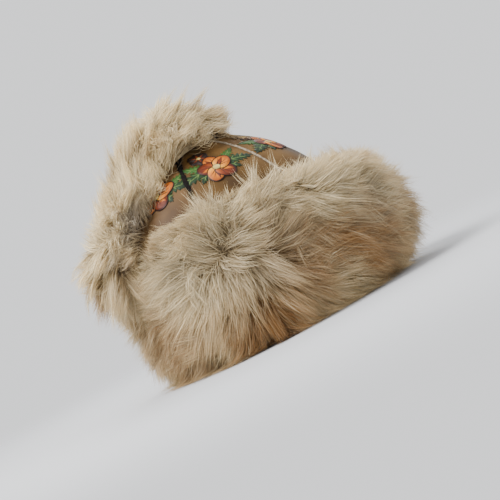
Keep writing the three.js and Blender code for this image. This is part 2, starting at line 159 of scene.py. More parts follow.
def grid_quads(rows, columns, first=0, flip=False):
    """Corners of the quads between rows and columns of points, counted from first."""
    j, i = np.meshgrid(np.arange(rows - 1), np.arange(columns - 1), indexing="ij")
    a = first + j * columns + i
    quads = np.stack([a, a + 1, a + columns + 1, a + columns], -1).reshape(-1, 4)
    return quads[:, ::-1] if flip else quads


def closed_sheet(outer, inner):
    """Points and quads of a closed body between two grids of points of the same shape."""
    rows, columns = outer.shape[:2]
    count = rows * columns
    index = np.arange(count).reshape(rows, columns)
    rim = np.concatenate([index[0, :-1], index[:-1, -1], index[-1, :0:-1], index[:0:-1, 0]])
    ahead = np.roll(rim, -1)
    walls = np.stack([rim, rim + count, ahead + count, ahead], -1)
    quads = np.concatenate([grid_quads(rows, columns), grid_quads(rows, columns, count, True), walls])
    return np.concatenate([outer.reshape(-1, 3), inner.reshape(-1, 3)]), quads


def quad_piece(name, points, quads, material_index=None):
    return link_mesh(name, points, quads.ravel(), np.arange(len(quads)) * 4, material_index)


# %% Material helpers
def linear(hexcode):
    values = [int(hexcode[i : i + 2], 16) / 255 for i in (1, 3, 5)]
    return [v / 12.92 if v <= 0.04045 else ((v + 0.055) / 1.055) ** 2.4 for v in values] + [1]


def add_node(material, kind, settings=None, links=None):
    """Adds a node, sets its properties and inputs, and links inputs to sockets or other nodes."""
    tree = material.node_tree
    node = tree.nodes.new("ShaderNode" + kind)
    for name, value in (settings or {}).items():
        if isinstance(name, int) or name in node.inputs:
            node.inputs[name].default_value = value
        else:
            setattr(node, name, value)
    for name, source in (links or {}).items():
        socket = source.outputs[0] if isinstance(source, bpy.types.Node) else source
        tree.links.new(socket, node.inputs[name])
    return node


def new_material(name):
    material = bpy.data.materials.new(name)
    material.use_nodes = True
    material.node_tree.nodes.clear()
    return material


def finish_material(material, shader):
    add_node(material, "OutputMaterial", None, {"Surface": shader})
    return material


def ramp(material, factor, stops):
    """A colour ramp. stops lists (place, hex colour)."""
    node = add_node(material, "ValToRGB", None, {"Fac": factor})
    elements = node.color_ramp.elements
    while len(elements) < len(stops):
        elements.new(0.5)
    for element, (place, colour) in zip(elements, stops, strict=True):
        element.position = place
        element.color = linear(colour)
    return node


# %% [markdown]
# ## The crown's shape
#
# The frame already holds the crown as plain gores. The same few dimensions give a finer one:
# a dome that comes to a slight point, on a wall that narrows to the head opening. The leather
# sinks where two gores meet, because the seam pulls it tight, and has a few soft dents, which
# grow calm near the apex. It could be sculpted, but as a function it lets the gores, the seams
# and the painting all lie on the same surface.

# %% Crown shape
LEATHER = 2
HEAD_HALF_WIDTH, HEAD_HALF_LENGTH = 82.5, 100
RIM_Z, BULGE_Z, TOP_Z = 6, 129, 224
CROWN_HALF_WIDTH, CROWN_HALF_LENGTH = 105, 125
DOME_POWER = 1.6
SEAM_DIP = 2.5
DENT_DEPTH, DENT_LENGTH = 0.9, 42
CALM_RADIUS = 40
WALL_STEPS, DOME_STEPS = 12, 38
APEX_HOLE = 2.2
GORE_ANGLE = 360 / GORES


def mix(a, b, t):
    return a + (b - a) * t


def ease(t):
    t = np.clip(t, 0, 1)
    return t * t * (3 - 2 * t)


def ends_close(t):
    """From 0 to 1, with places close together near both ends, where round forms curve in."""
    return (1 - np.cos(np.pi * t)) / 2


def hump(x, power=2):
    """The height of a round hump, 1 at x = 0 and 0 at x = 1. A higher power makes it boxier."""
    return np.clip(1 - np.abs(x) ** power, 0, 1) ** (1 / power)


def bell(distance, reach):
    """1 at no distance, and near 0 at twice the reach."""
    return np.exp(-((distance / reach) ** 2))


def outwards(azimuth):
    a = np.radians(azimuth)
    return np.stack([-np.sin(a), -np.cos(a), np.zeros_like(a)], -1)


def backwards(azimuth):
    """Level, along growing azimuth: from the front, past the wearer's right, to the back."""
    a = np.radians(azimuth)
    return np.stack([-np.cos(a), np.sin(a), np.zeros_like(a)], -1)


UP = np.array([0.0, 0.0, 1.0])


def unit(v):
    return v / np.maximum(np.linalg.norm(v, axis=-1, keepdims=True), 1e-9)


def waves(points, length, seed):
    """Smooth noise from about -1 to 1 with bumps about length millimetres apart."""
    rng = np.random.default_rng(seed)
    total = np.zeros(points.shape[:-1])
    for _ in range(5):
        direction = unit(rng.normal(size=3))
        pitch = length * rng.uniform(0.8, 2.2)
        total += np.sin(points @ direction * 2 * np.pi / pitch + rng.uniform(0, 2 * np.pi))
    return total / 3


def crown_oval(z):
    height = np.clip((z - BULGE_Z) / (TOP_Z - BULGE_Z), 0, 1)
    dome = hump(height, DOME_POWER)
    down = ease((BULGE_Z - z) / (BULGE_Z - RIM_Z))
    across = mix(CROWN_HALF_WIDTH, HEAD_HALF_WIDTH + LEATHER, down) * dome
    along = mix(CROWN_HALF_LENGTH, HEAD_HALF_LENGTH + LEATHER, down) * dome
    return across, along


def crown_radius(azimuth, z):
    across, along = crown_oval(np.asarray(z, float))
    a = np.radians(azimuth)
    tiny = 1e-6
    return 1 / np.hypot(np.sin(a) / (across + tiny), np.cos(a) / (along + tiny))


def on_crown(azimuth, z, lift):
    """Points on the crown, lifted square to the leather. The three values may be arrays."""
    azimuth, z = np.broadcast_arrays(np.asarray(azimuth, float), np.asarray(z, float))
    step = 0.5
    radius = crown_radius(azimuth, z)
    slope = (crown_radius(azimuth, z - step) - radius) / step
    out = 1 / np.hypot(1, slope)
    puff = np.abs(np.sin(np.radians(azimuth * GORES / 2)))
    dip = SEAM_DIP * (1 - puff) ** 2 * np.minimum(1, radius / CROWN_HALF_WIDTH)
    on_dome = outwards(azimuth) * radius[..., None] + UP * z[..., None]
    dent = DENT_DEPTH * waves(on_dome, DENT_LENGTH, 31) * np.minimum(1, radius / CALM_RADIUS)
    place = outwards(azimuth) * (radius + lift * out - dip + dent)[..., None]
    place[..., 2] = z + lift * np.minimum(slope * out, 1)
    return place


def crown_heights(finer=1):
    wall = np.linspace(RIM_Z, BULGE_Z, WALL_STEPS, endpoint=False)
    last = math.acos((APEX_HOLE / CROWN_HALF_WIDTH) ** (DOME_POWER / 2))
    turns = np.linspace(0, last, DOME_STEPS * finer + 1)
    return np.concatenate([wall, mix(BULGE_Z, TOP_Z, np.sin(turns) ** (2 / DOME_POWER))])


# Heights against the distance from the apex down the middle of a gore, to place the painting
PROFILE_Z = np.linspace(TOP_Z - 0.01, 100, 600)
profile = np.stack([crown_radius(90, PROFILE_Z), PROFILE_Z], -1)
PROFILE_LENGTH = np.concatenate([[0], np.cumsum(np.linalg.norm(np.diff(profile, axis=0), axis=1))])
PROFILE_LENGTH += profile[0, 0]
print("from apex to the widest part", round(np.interp(-BULGE_Z, -PROFILE_Z, PROFILE_LENGTH)), "mm")

# %% [markdown]
# ## Smooth tan leather
#
# The crown is vegetable-tanned leather with a rolled, slightly waxy face. That gives the eye a
# warm brown that drifts in tone, soft broad highlights, and a fine pebble only close up. The
# pebble is about 0.6 mm, too fine to show here, so it is drawn at 1.4 mm and kept low. The
# gores come from two hides, one golden and one a little rosier. They darken along the seams,
# partly from wear and partly as painted shade in the seams' folds, most beside the black seam.
# Inside, the flesh side is brushed: darker, with no shine. Noise nodes make all of it, because
# they need no unwrapping and no picture.

# %% Leather materials
GOLDEN_LEATHER = ("#37250E", "#4F3714", "#674A20")
ROSY_LEATHER = ("#453018", "#5C4325", "#725633")
FLESH_SIDE = [(0.3, "#5F452C"), (0.7, "#7A5C3E")]
PEBBLE_MM = 1.4
# Noise scales, in patterns a metre: the tone drifts over about 45 mm, and creases lie about 11 mm
# apart. Nap of 0.5 mm is too fine to show here, so it is drawn at about 3 mm.
TONE_SCALE, CREASE_SCALE, NAP_SCALE = 22, 90, 300


def leather_material(name, tones):
    m = new_material(name)
    place = add_node(m, "TexCoord").outputs["Object"]
    drift = add_node(m, "TexNoise", {"Scale": TONE_SCALE, "Detail": 3}, {"Vector": place})
    tan = ramp(m, drift, list(zip((0.3, 0.5, 0.72), tones, strict=True)))
    # Darker along the seams: partly wear, partly painted shade in the seams' folds
    worn_and_shaded = add_node(m, "Attribute", {"attribute_name": "seam_wear_and_shade"})
    colour = add_node(m, "Mix", {"data_type": "RGBA", 7: linear("#2E1B0C")},
                      {0: worn_and_shaded.outputs["Fac"], 6: tan}).outputs[2]
    grain = add_node(m, "TexVoronoi", {"Scale": 1 / (PEBBLE_MM * MM)}, {"Vector": place})
    crease = add_node(m, "TexNoise", {"Scale": CREASE_SCALE, "Detail": 4}, {"Vector": place})
    low = add_node(m, "Bump", {"Strength": 0.12, "Distance": 0.0004}, {"Height": grain})
    bump = add_node(m, "Bump", {"Strength": 0.25, "Distance": 0.0008}, {"Height": crease, "Normal": low})
    shine = add_node(m, "MapRange", {"To Min": 0.5, "To Max": 0.68}, {"Value": crease})
    gloss = {"IOR": 1.5, "Sheen Weight": 0.02, "Specular IOR Level": 0.2}
    shader = add_node(m, "BsdfPrincipled", gloss, {"Base Color": colour, "Roughness": shine, "Normal": bump})
    return finish_material(m, shader)


def raw_leather_material(name, fibres, stops, relief, gloss):
    """Leather without its smooth face: the fibres set both the tone and a fine relief."""
    m = new_material(name)
    place = add_node(m, "TexCoord").outputs["Object"]
    fibre = add_node(m, "TexNoise", fibres, {"Vector": place})
    bump = add_node(m, "Bump", relief, {"Height": fibre})
    shader = add_node(m, "BsdfPrincipled", gloss,
                      {"Base Color": ramp(m, fibre, stops), "Normal": bump})
    return finish_material(m, shader)


golden_leather = leather_material("golden_tanned_leather", GOLDEN_LEATHER)
rosy_leather = leather_material("rosy_tanned_leather", ROSY_LEATHER)
flesh = raw_leather_material("brushed_flesh_side", {"Scale": NAP_SCALE, "Detail": 5}, FLESH_SIDE,
                             {"Strength": 0.4, "Distance": 0.0006}, {"Roughness": 0.9, "Sheen Weight": 0.3})
print("leathers", golden_leather.name, rosy_leather.name, flesh.name)

# %% [markdown]
# ## Six gores
#
# Each gore is one closed shell of leather. Close to a seam the leather puckers in short soft
# waves, since the thread draws it in a little. The waves are real relief, so that the light
# catches them from every side.

# %% Gores
GORE_GAP = 0.2
BLACK_SEAM = 2
PUCKER_DEPTH, PUCKER_LENGTH, PUCKER_REACH = 0.5, 9.0, 9.0
PUCKER_PLACE = 5
PUCKER_SHIFT, PUCKER_DRIFT, DRIFT_LENGTH = 2.1, 1.3, 17
# Seam darkening, partly wear and partly painted shade in the folds: its reach in mm, then its strength
# beside the black seam and beside the pale ones
WEAR_AND_SHADE_REACH = 3.5
INK_WEAR_AND_SHADE, PALE_WEAR_AND_SHADE = 0.75, 0.3
ROSY_GORES = (2, 4)
GORE_COLUMNS = 30


def make_gore(k):
    z = crown_heights()[:, None]
    share = np.linspace(0, 1, GORE_COLUMNS)[None, :]
    radius = np.maximum(crown_radius(0, z) - LEATHER, 1)
    slit = np.degrees(np.arcsin(GORE_GAP / radius))
    azimuth = mix((k + 1) * GORE_ANGLE - slit, k * GORE_ANGLE + slit, share)
    from_seam = np.minimum(share, 1 - share) * np.radians(GORE_ANGLE) * radius
    uneven = k * PUCKER_SHIFT + PUCKER_DRIFT * np.sin(z / DRIFT_LENGTH)
    pucker = np.sin(z / PUCKER_LENGTH * 2 * np.pi + uneven)
    wave = pucker * bell(from_seam - PUCKER_PLACE, PUCKER_REACH) * (from_seam > 0.5)
    wave *= PUCKER_DEPTH * np.minimum(1, from_seam / PUCKER_PLACE) * np.minimum(1, radius / CALM_RADIUS)
    outer = on_crown(azimuth, z, wave)
    inner = on_crown(azimuth, z, -LEATHER)
    points, quads = closed_sheet(outer, inner)
    outer_faces = (outer.shape[0] - 1) * (outer.shape[1] - 1)
    inside = np.arange(len(quads)) >= outer_faces
    piece = quad_piece(f"gore_{k + 1}", points, quads, inside)
    piece.data.materials.append(rosy_leather if k in ROSY_GORES else golden_leather)
    piece.data.materials.append(flesh)
    # Painted shade with wear: the leather darkens towards each seam, most beside the black seam
    nearest_seam = np.where(share < 0.5, k + 1, k)
    darkest = np.where(nearest_seam == BLACK_SEAM, INK_WEAR_AND_SHADE, PALE_WEAR_AND_SHADE)
    wear_and_shade = darkest * bell(from_seam, WEAR_AND_SHADE_REACH)
    layer = piece.data.attributes.new("seam_wear_and_shade", "FLOAT", "POINT")
    layer.data.foreach_set("value", np.concatenate([wear_and_shade, wear_and_shade]).astype(np.float32).ravel())
    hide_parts(f"crown_gore_{k + 1}")
    return piece


gores = [make_gore(k) for k in range(GORES)]
print("gores", len(gores), "faces each", len(gores[0].data.polygons))

# %% [markdown]
# ## Seams
#
# Two leather edges are sewn together and stand up as a narrow ridge. The pale grey of most
# seams is painted sheen, which stands in for light catching the ridge. On one seam the edge is
# inked black and has frayed, so it wanders a little and short threads stick out of it. A painted
# line would look flat from the side, so each seam is a closed half-round ridge that varies in
# width and height.

# %% Seams
SEAM_HALF_WIDTH = 1.1
SEAM_HEIGHT = 1.4
SEAM_EDGE, SEAM_ROOT = 0.1, 0.4
BLACK_SEAM_WIDER = 2.2
BLACK_ROUGH, PALE_ROUGH, HEIGHT_ROUGH = 0.28, 0.1, 0.15
FRAY_COUNT = 110
FRAY_HEIGHTS = (140, 215)
THREAD_ROOT, THREAD_HALF = 0.8, 0.18
THREAD_LENGTHS = (1.5, 4)
# Leather fibres are about 0.1 mm, too fine to show, so they are drawn at about 2 mm
FIBRE_SCALE = 500


def seam_material(name, dark, light):
    return raw_leather_material(
        name, {"Scale": FIBRE_SCALE, "Detail": 3}, [(0.35, dark), (0.65, light)],
        {"Strength": 0.5, "Distance": 0.0004}, {"Roughness": 0.85, "Specular IOR Level": 0.15})


# Painted sheen: this pale grey stands in for light catching the seam ridges
painted_sheen_edge = seam_material("seam_painted_sheen", "#6F6354", "#A0937F")
inked_edge = seam_material("frayed_inked_edge", "#050303", "#130D0A")


def seam_ridge(k, z, wander, half_width, height):
    """Rings of a half-round ridge along a seam."""
    turn = np.linspace(-np.pi / 2, np.pi / 2, 7)[None, :]
    radius = np.maximum(crown_radius(k * GORE_ANGLE, z), 2)
    side = (half_width * np.sin(turn) + wander) / radius
    azimuth = k * GORE_ANGLE + np.degrees(side)
    outer = on_crown(azimuth, z, SEAM_EDGE + height * np.cos(turn))
    inner = on_crown(azimuth, z, -SEAM_ROOT)
    return outer[:, ::-1], inner[:, ::-1]


def black_seam_wander(z):
    return 0.7 * np.sin(z / 5.5 + 1) - 2.4 * np.sin((z - 140) / 13)


def make_seam(k):
    rng = np.random.default_rng(40 + k)
    z = crown_heights(finer=2)[:-2, None]
    black = k == BLACK_SEAM
    wander = 0.25 * np.sin(z / 5) + (black_seam_wander(z) if black else 0)
    rough = 1 + (BLACK_ROUGH if black else PALE_ROUGH) * rng.normal(size=z.shape)
    half_width = SEAM_HALF_WIDTH * (BLACK_SEAM_WIDER if black else 1) * rough
    height = SEAM_HEIGHT * (1 + HEIGHT_ROUGH * rng.normal(size=z.shape))
    points, quads = closed_sheet(*seam_ridge(k, z, wander, half_width, height))
    if black:
        points, quads = add_threads(points, quads, rng)
    piece = quad_piece(f"seam_{k + 1}", points, quads)
    piece.data.materials.append(inked_edge if black else painted_sheen_edge)
    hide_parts(f"crown_seam_{k + 1}")


def add_threads(points, quads, rng):
    """Short four-sided threads that stick out of the black seam."""
    z = rng.uniform(*FRAY_HEIGHTS, FRAY_COUNT)
    off_line = np.degrees(black_seam_wander(z) / crown_radius(BLACK_SEAM * GORE_ANGLE, z))
    azimuth = BLACK_SEAM * GORE_ANGLE + off_line + rng.normal(0, 0.8, FRAY_COUNT)
    root = on_crown(azimuth, z, THREAD_ROOT)
    sideways = backwards(azimuth) * rng.normal(0, 1, (FRAY_COUNT, 1))
    lean = unit(outwards(azimuth) * 0.5 + sideways + UP * 0.2)
    side = unit(np.cross(lean, UP)) * THREAD_HALF
    over = unit(np.cross(side, lean)) * THREAD_HALF
    length = rng.uniform(*THREAD_LENGTHS, (FRAY_COUNT, 1))
    corners = np.stack([side, over, -side, -over], 1)
    tip = (root + lean * length)[:, None] + corners * 0.3
    rings = np.concatenate([root[:, None] + corners, tip], 1)
    first = len(points) + np.arange(FRAY_COUNT)[:, None] * 8
    around = [[i, (i + 1) % 4, 4 + (i + 1) % 4, 4 + i] for i in range(4)]
    faces = np.array(around + [[3, 2, 1, 0], [4, 5, 6, 7]])
    new = (first[:, :, None] + faces[None]).reshape(-1, 4)
    return np.concatenate([points, rings.reshape(-1, 3)]), np.concatenate([quads, new])


for k in range(GORES):
    make_seam(k)
print("seams made, the black one at", BLACK_SEAM * GORE_ANGLE, "degrees")

# %% [markdown]
# ## Painted flowers
#
# A spray of flowers is painted on every gore in thick leather paint: an open blossom in orange
# and rust with a cream heart, a small brown flower above it and toothed green leaves at its
# sides. Each stroke is a thin solid that follows the dome, and each petal lies over a slightly
# larger dark one that gives the drawn outline. A flat picture would stretch on a dome, and
# strokes don't.

# %% Paint materials
def paint_material(name, stops, streaks):
    """stops run from the root of a stroke to its tip, and streaks says how much the brush shows."""
    m = new_material(name)
    uv = add_node(m, "UVMap")
    stretch = add_node(m, "Mapping", {"Scale": (2.2, 26, 1)}, {"Vector": uv})
    brush = add_node(m, "TexNoise", {"Scale": 1, "Detail": 3}, {"Vector": stretch})
    split = add_node(m, "SeparateXYZ", None, {"Vector": uv})
    shift = add_node(m, "Math", {"operation": "MULTIPLY_ADD", 1: streaks, 2: -streaks / 2},
                     {0: brush})
    along = add_node(m, "Math", {"operation": "ADD"}, {0: split.outputs["X"], 1: shift})
    colour = ramp(m, along, stops)
    bump = add_node(m, "Bump", {"Strength": 0.3, "Distance": 0.0003}, {"Height": brush})
    shader = add_node(m, "BsdfPrincipled", {"Roughness": 0.55, "Specular IOR Level": 0.25},
                      {"Base Color": colour, "Normal": bump})
    return finish_material(m, shader)


PAINT_TONES = {
    "outline": ([(0, "#1C0F0C"), (1, "#2A1611")], 0.5),
    "orange": ([(0, "#E2A53E"), (0.4, "#C5701B"), (1, "#8C410E")], 1.1),
    "rust": ([(0, "#9C4C18"), (0.5, "#69290E"), (1, "#431506")], 1.0),
    "cream": ([(0, "#D2BC76"), (1, "#A78A45")], 0.7),
    "brown": ([(0, "#38200F"), (0.6, "#20120A"), (1, "#120A06")], 0.7),
    "deep_green": ([(0, "#233F19"), (0.5, "#132B10"), (1, "#0B1A09")], 0.9),
    "leaf_green": ([(0, "#22441B"), (0.5, "#30561F"), (1, "#183112")], 0.9),
    "vein_green": ([(0, "#66793F"), (1, "#3C5527")], 0.5),
}
PAINTS = {name: paint_material(f"paint_{name}", *tones) for name, tones in PAINT_TONES.items()}
PAINT_ORDER = list(PAINTS)
print("paints", PAINT_ORDER)

# %% [markdown]
# A stroke is drawn on the flat in millimetres, from its root along an angle, and its half width
# comes from a short profile. The dome then bends it: height on the drawing is measured down from
# the apex, and width is wrapped round the crown at that height.

# %% Strokes
PAINT_LIFT, PAINT_FOOT = 0.3, 0.02
WIDE_STROKE = 2.0
WIDE_STEP, THIN_STEP = 0.015, 0.006
ROW_SPACING = 1.6
LEAF_TEETH = 8
OUTLINE = 1.1


def petal_profile(t):
    return hump(2 * t**0.8 - 1)


def disc_profile(t):
    return hump(2 * t - 1)


def leaf_profile(t):
    """A leaf whose teeth point to its tip."""
    saw = 0.42 + 0.58 * ((t * LEAF_TEETH) % 1)
    return np.sin(np.pi * np.clip(t, 0, 1) ** 0.75) ** 0.7 * saw


def blade_profile(t):
    return np.sin(np.pi * np.clip(t, 0, 1) ** 0.7)


PROFILES = {"petal": petal_profile, "disc": disc_profile, "leaf": leaf_profile, "blade": blade_profile}


def stroke_grid(stroke, grow):
    """Flat points (across, down) of a stroke, and its own coordinates from root to tip."""
    rows = int(np.clip(stroke["length"] / ROW_SPACING, 7, 18))
    t = ends_close(np.linspace(0, 1, rows))
    if stroke["shape"] == "leaf":
        teeth = np.arange(1, LEAF_TEETH) / LEAF_TEETH
        t = np.sort(np.concatenate([np.linspace(0, 1, LEAF_TEETH + 1), teeth - 1e-3, teeth - 0.06]))
    side = np.linspace(-1, 1, 5 if stroke["half"] > WIDE_STROKE * 2.5 else 3)
    border = grow * np.sqrt(np.clip(1 - (2 * t - 1) ** 8, 0, 1))
    half = stroke["half"] * PROFILES[stroke["shape"]](t) + border
    along = mix(-grow, stroke["length"] + grow, t)
    bend = stroke.get("bend", 0) * (along / stroke["length"]) ** 2
    a = math.radians(stroke["angle"])
    forward = np.array([math.cos(a), math.sin(a)])
    square = np.array([-math.sin(a), math.cos(a)])
    flat = (
        np.array([stroke["across"], stroke["down"]])
        + along[:, None, None] * forward
        + (half[:, None] * side + bend[:, None])[..., None] * square
    )
    own = np.stack(np.broadcast_arrays(t[:, None], (side + 1)[None] / 2), -1)
    return flat, own


def wrap_on_gore(k, flat, lift):
    z = np.interp(flat[..., 1], PROFILE_LENGTH, PROFILE_Z)
    middle = (k + 0.5) * GORE_ANGLE
    across = flat[..., 0] + SPRAY_SHIFTS[k]
    azimuth = middle + np.degrees(across / np.maximum(crown_radius(middle, z), 1))
    return on_crown(azimuth, z, lift)


HEART_DOWN = 87.0
SMALL_DOWN = HEART_DOWN - 24
SPRAY_SHIFTS = (0, 5, -9, 9, -5, 0)
LEAVES = [
    dict(paint="deep_green", angle=8, length=41, half=8.5, bend=3),
    dict(paint="leaf_green", angle=-22, length=31, half=7.0, bend=-3),
    dict(paint="deep_green", angle=42, length=26, half=6.0, bend=2),
]
PETALS = [("orange", "rust"), ("rust", "orange")] * 2 + [("orange", "rust")]


def leaf_strokes(side, leaf, turn):
    """A leaf on one side of the heart: its blade, its midrib and four side veins."""
    angle = (leaf["angle"] if side > 0 else 180 - leaf["angle"]) + turn
    whole = dict(leaf, shape="leaf", across=side * 5.0, down=HEART_DOWN - 4, angle=angle,
                 bend=leaf["bend"] * side)
    vein = dict(shape="blade", paint="vein_green")
    strokes = [whole, dict(whole, **vein, half=0.7, length=leaf["length"] * 0.85)]
    a = math.radians(angle)
    for share in (0.35, 0.6):
        for lean in (-1, 1):
            along = leaf["length"] * share
            strokes.append(dict(
                vein, angle=angle + lean * 38, half=0.45, length=leaf["half"] * 0.95,
                across=whole["across"] + along * math.cos(a), down=whole["down"] + along * math.sin(a)))
    return strokes


def petal_strokes(angle, length, paints):
    """A petal with its outline, a broad streak of the other colour and three dark lines."""
    streak = dict(shape="blade", paint=paints[1], across=0.0, down=HEART_DOWN, angle=angle + 9,
                  length=length * 0.86, half=2.6, bend=2.0)
    petal = dict(streak, shape="petal", paint=paints[0], angle=angle, length=length, half=8.4,
                 bend=0.0, outline=OUTLINE)
    lines = [dict(streak, paint="outline", angle=angle + turn, length=length * 0.8, half=0.5,
                  bend=turn * 0.12) for turn in (-16, -4, 20)]
    return [petal, streak, *lines]


def spray(k):
    """The strokes of one gore, from the lowest layer up."""
    rng = np.random.default_rng(70 + k)
    strokes = []
    for side in (-1, 1):
        for leaf in LEAVES:
            strokes += leaf_strokes(side, leaf, rng.uniform(-4, 4))
    small = dict(shape="petal", paint="brown", across=6.0, down=SMALL_DOWN, outline=0.5)
    line = dict(small, shape="blade", paint="rust", outline=0.2)
    strokes += [dict(small, angle=60 * i + 20, length=11.0, half=5.0) for i in range(6)]
    strokes += [dict(line, angle=60 * i + 24, length=9.0, half=0.9) for i in range(6)]
    disc = dict(shape="disc", paint="cream", angle=0)
    strokes.append(dict(disc, across=3.8, down=SMALL_DOWN, length=4.4, half=2.2, outline=0.3))
    for i, paints in enumerate(PETALS):
        angle = 72 * i - 90 + rng.uniform(-5, 5)
        strokes += petal_strokes(angle, 20 + rng.uniform(-1.5, 1.5), paints)
    strokes.append(dict(disc, across=-4.0, down=HEART_DOWN, length=8.0, half=3.6, outline=0.5))
    return strokes


def paint_gore(k):
    """All strokes of a gore as one mesh, where each lies a little higher than the one before."""
    points, quads, uvs, paints = [], [], [], []
    first = 0
    lift = PAINT_LIFT
    for stroke in spray(k):
        layers = [(0.0, stroke["paint"])]
        if "outline" in stroke:
            layers = [(stroke["outline"], "outline"), (0.0, stroke["paint"])]
        for grow, paint in layers:
            lift += WIDE_STEP if stroke["half"] > WIDE_STROKE else THIN_STEP
            flat, own = stroke_grid(stroke, grow)
            top = wrap_on_gore(k, flat[:, ::-1], lift)
            low = wrap_on_gore(k, flat[:, ::-1], PAINT_FOOT)
            body, faces = closed_sheet(top, low)
            points.append(body)
            quads.append(faces + first)
            uvs.append(np.concatenate([own[:, ::-1].reshape(-1, 2)] * 2))
            paints.append(np.full(len(faces), PAINT_ORDER.index(paint)))
            first += len(body)
    points, quads = np.concatenate(points), np.concatenate(quads)
    piece = quad_piece(f"painting_{k + 1}", points, quads, np.concatenate(paints))
    layer = piece.data.uv_layers.new(name="UVMap")
    layer.data.foreach_set("uv", np.concatenate(uvs)[quads.ravel()].astype(np.float32).ravel())
    for paint in PAINT_ORDER:
        piece.data.materials.append(PAINTS[paint])
    return piece


paintings = [paint_gore(k) for k in range(GORES)]
print("strokes on a gore", len(spray(0)), "faces", len(paintings[0].data.polygons))

# %% [markdown]
# ## The shape under the fur
#
# Fur grows from a hide. Over the hide the short dense underfur packs into a soft body, and the
# long hair leans out of it. The cuff's body is a rounded roll round the crown, boxy in front
# and over the ears, and low and round behind. The back flap's body follows the dome from rays
# that leave the crown's axis. Both are functions of two shares from 0 to 1, because such a
# surface serves twice: as the underfur's shape, and to find where a hair stands and leans.

# %% Packed fur shape
CUFF_BOTTOM_Z = 1.5
FRONT_TOP_Z = 134
# From what azimuth the cuff's top edge changes its height, over how many degrees, and to what
CUFF_TOP_STEPS = [(20, 50, 145), (75, 30, 156), (140, 33, 92)]
FRONT_END, FRONT_BLEND = 70, 50
REAR_START, REAR_BLEND = 125, 55
FRONT_LIFT, REAR_LIFT = 4, 9
CUFF_HALF_WIDTH, CUFF_FRONT_LENGTH, CUFF_BACK_LENGTH = 136, 191, 124
CUFF_PLAN_POWER = 2.3
CUFF_SECTION_POWER, FRONT_SECTION_POWER, REAR_SECTION_POWER = 2.8, 2.2, 1.4
END_ROUND, END_SHARE = 22, 0.88
SIDE_SEAM, CENTRE_BACK = 106, 180


def from_front(azimuth):
    """Degrees from the front on either side, up to 180."""
    return np.abs(np.where(azimuth > 180, azimuth - 360, azimuth))


def cuff_plan(azimuth):
    a = np.radians(azimuth)
    along = np.where(np.cos(a) > 0, CUFF_FRONT_LENGTH, CUFF_BACK_LENGTH)
    power = CUFF_PLAN_POWER
    total = (np.abs(np.sin(a)) / CUFF_HALF_WIDTH) ** power + (np.abs(np.cos(a)) / along) ** power
    return total ** (-1 / power)


def cuff_top(azimuth):
    around = from_front(azimuth)
    top = FRONT_TOP_Z
    for start, degrees, height in CUFF_TOP_STEPS:
        top = mix(top, height, ease((around - start) / degrees))
    return top


def on_cuff(azimuth, level, full, sink=0.0):
    """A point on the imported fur, with level from 0 at the bottom to 1 at the top edge."""
    front = ease((FRONT_END - from_front(azimuth)) / FRONT_BLEND)
    rear = ease((from_front(azimuth) - REAR_START) / REAR_BLEND)
    top = cuff_top(azimuth) * mix(0.5 + END_SHARE / 2, 1, full) - sink
    bottom = CUFF_BOTTOM_Z + FRONT_LIFT * front + REAR_LIFT * rear + sink
    z = mix(bottom, top, level)
    power = mix(mix(CUFF_SECTION_POWER, FRONT_SECTION_POWER, front), REAR_SECTION_POWER, rear)
    bulge = hump(2 * level - 1, power)
    inner = crown_radius(azimuth, z) - 1
    outer = mix(inner, cuff_plan(azimuth), mix(END_SHARE, 1, full)) - sink
    point = outwards(azimuth) * mix(inner, outer, bulge)[..., None]
    point[..., 2] = z
    return point


def round_off(azimuth, ends):
    nearest = np.minimum(azimuth - ends[0], ends[1] - azimuth)
    t = np.clip(np.radians(nearest) * cuff_plan(azimuth) / END_ROUND, 0, 1)
    return hump(1 - t)


def cuff_surface(ends):
    """The function that takes shares round and up a cuff piece to points on it."""

    def place(share, level, sink=0.0):
        azimuth = mix(ends[0], ends[1], share)
        return on_cuff(azimuth, level, round_off(azimuth, ends), sink)

    return place


FLAP_CENTRE_Z = 110
# From low behind to the free end: the ray's angle in degrees, the depth of fur and the half width
FLAP_RISE = [-4, 3, 16, 34, 54, 74, 90, 103, 112]
FLAP_THICK = [6, 18, 25, 19, 22, 37, 41, 33, 10]
FLAP_HALF = [42, 50, 57, 58, 56, 53, 50, 43, 28]


def ray_to_crown(ray):
    """How far a ray from the flap's centre runs to the crown, found by halving the interval."""
    near = np.full(ray.shape[:-1], 40.0)
    far = np.full(ray.shape[:-1], 200.0)
    for _ in range(18):
        middle = (near + far) / 2
        z = FLAP_CENTRE_Z + ray[..., 2] * middle
        across, along = crown_oval(np.maximum(z, RIM_Z))
        reach = np.hypot(ray[..., 0] * middle / (across + 1e-6), ray[..., 1] * middle / (along + 1e-6))
        inside = (z < TOP_Z) & (reach < 1)
        near = np.where(inside, middle, near)
        far = np.where(inside, far, middle)
    return near


def flap_ray(rise, side):
    a = np.radians(rise)
    level = hump(side)
    return np.stack([side, np.cos(a) * level, np.sin(a) * level], -1)


def flap_surface(share, side_share, sink=0.0):
    """A point on the flap's packed fur. share runs from low behind to the free end."""
    row = share * (len(FLAP_RISE) - 1)
    rows = np.arange(len(FLAP_RISE))
    rise, thick, half = (np.interp(row, rows, column) for column in (FLAP_RISE, FLAP_THICK, FLAP_HALF))
    side = 2 * side_share - 1
    middle = ray_to_crown(flap_ray(rise, np.zeros_like(rise)))
    ray = flap_ray(rise, side * (half - sink) / middle)
    edge = hump(side, 3)
    distance = ray_to_crown(ray) + np.maximum((thick - sink) * edge, 1)
    return ray * distance[..., None] + UP * FLAP_CENTRE_Z


